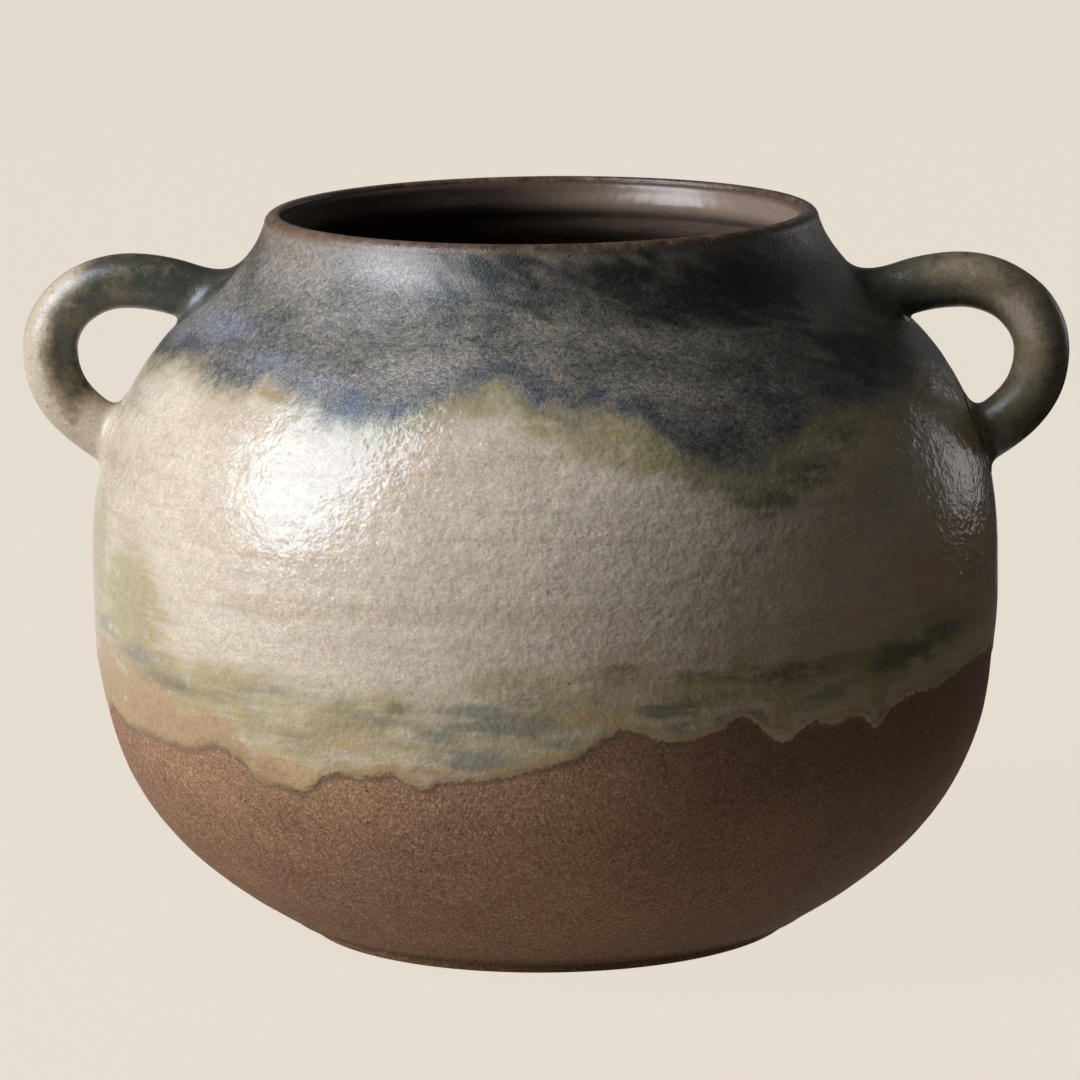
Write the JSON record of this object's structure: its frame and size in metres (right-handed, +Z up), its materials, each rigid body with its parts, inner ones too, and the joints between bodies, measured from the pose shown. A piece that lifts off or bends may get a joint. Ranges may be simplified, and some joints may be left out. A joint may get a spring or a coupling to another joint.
{
  "type": "two-handled ceramic vase",
  "caption": "Round thrown stoneware vase with a wide collared mouth and coil loop handles on its shoulder, dipped in glaze over a bare clay base; holds cut stems or water.",
  "frame": {"origin": "centre of the circle that the foot ring stands on", "axes": "+Z up along the axis that the pot was thrown on, +X towards the right handle, -Y towards the viewer of the picture"},
  "size_m": [0.2304, 0.2, 0.1585],
  "materials": {
    "bare_stoneware": "matte, unglazed, sandy",
    "handle_ash_glaze": "satin",
    "luting_ash_glaze": "satin",
    "cream_glaze": "semi-gloss",
    "slate_glaze": "satin, finely wrinkled",
    "liner_brown_glaze": "gloss"
  },
  "bodies": {
    "root": {"thrown_body": "bare_stoneware", "left_handle": "handle_ash_glaze", "right_handle": "handle_ash_glaze", "left_upper_luting": "luting_ash_glaze", "left_lower_luting": "luting_ash_glaze", "right_upper_luting": "luting_ash_glaze", "right_lower_luting": "luting_ash_glaze", "cream_glaze": "cream_glaze", "slate_glaze": "slate_glaze", "liner_glaze": "liner_brown_glaze"}
  },
  "joints": []
}
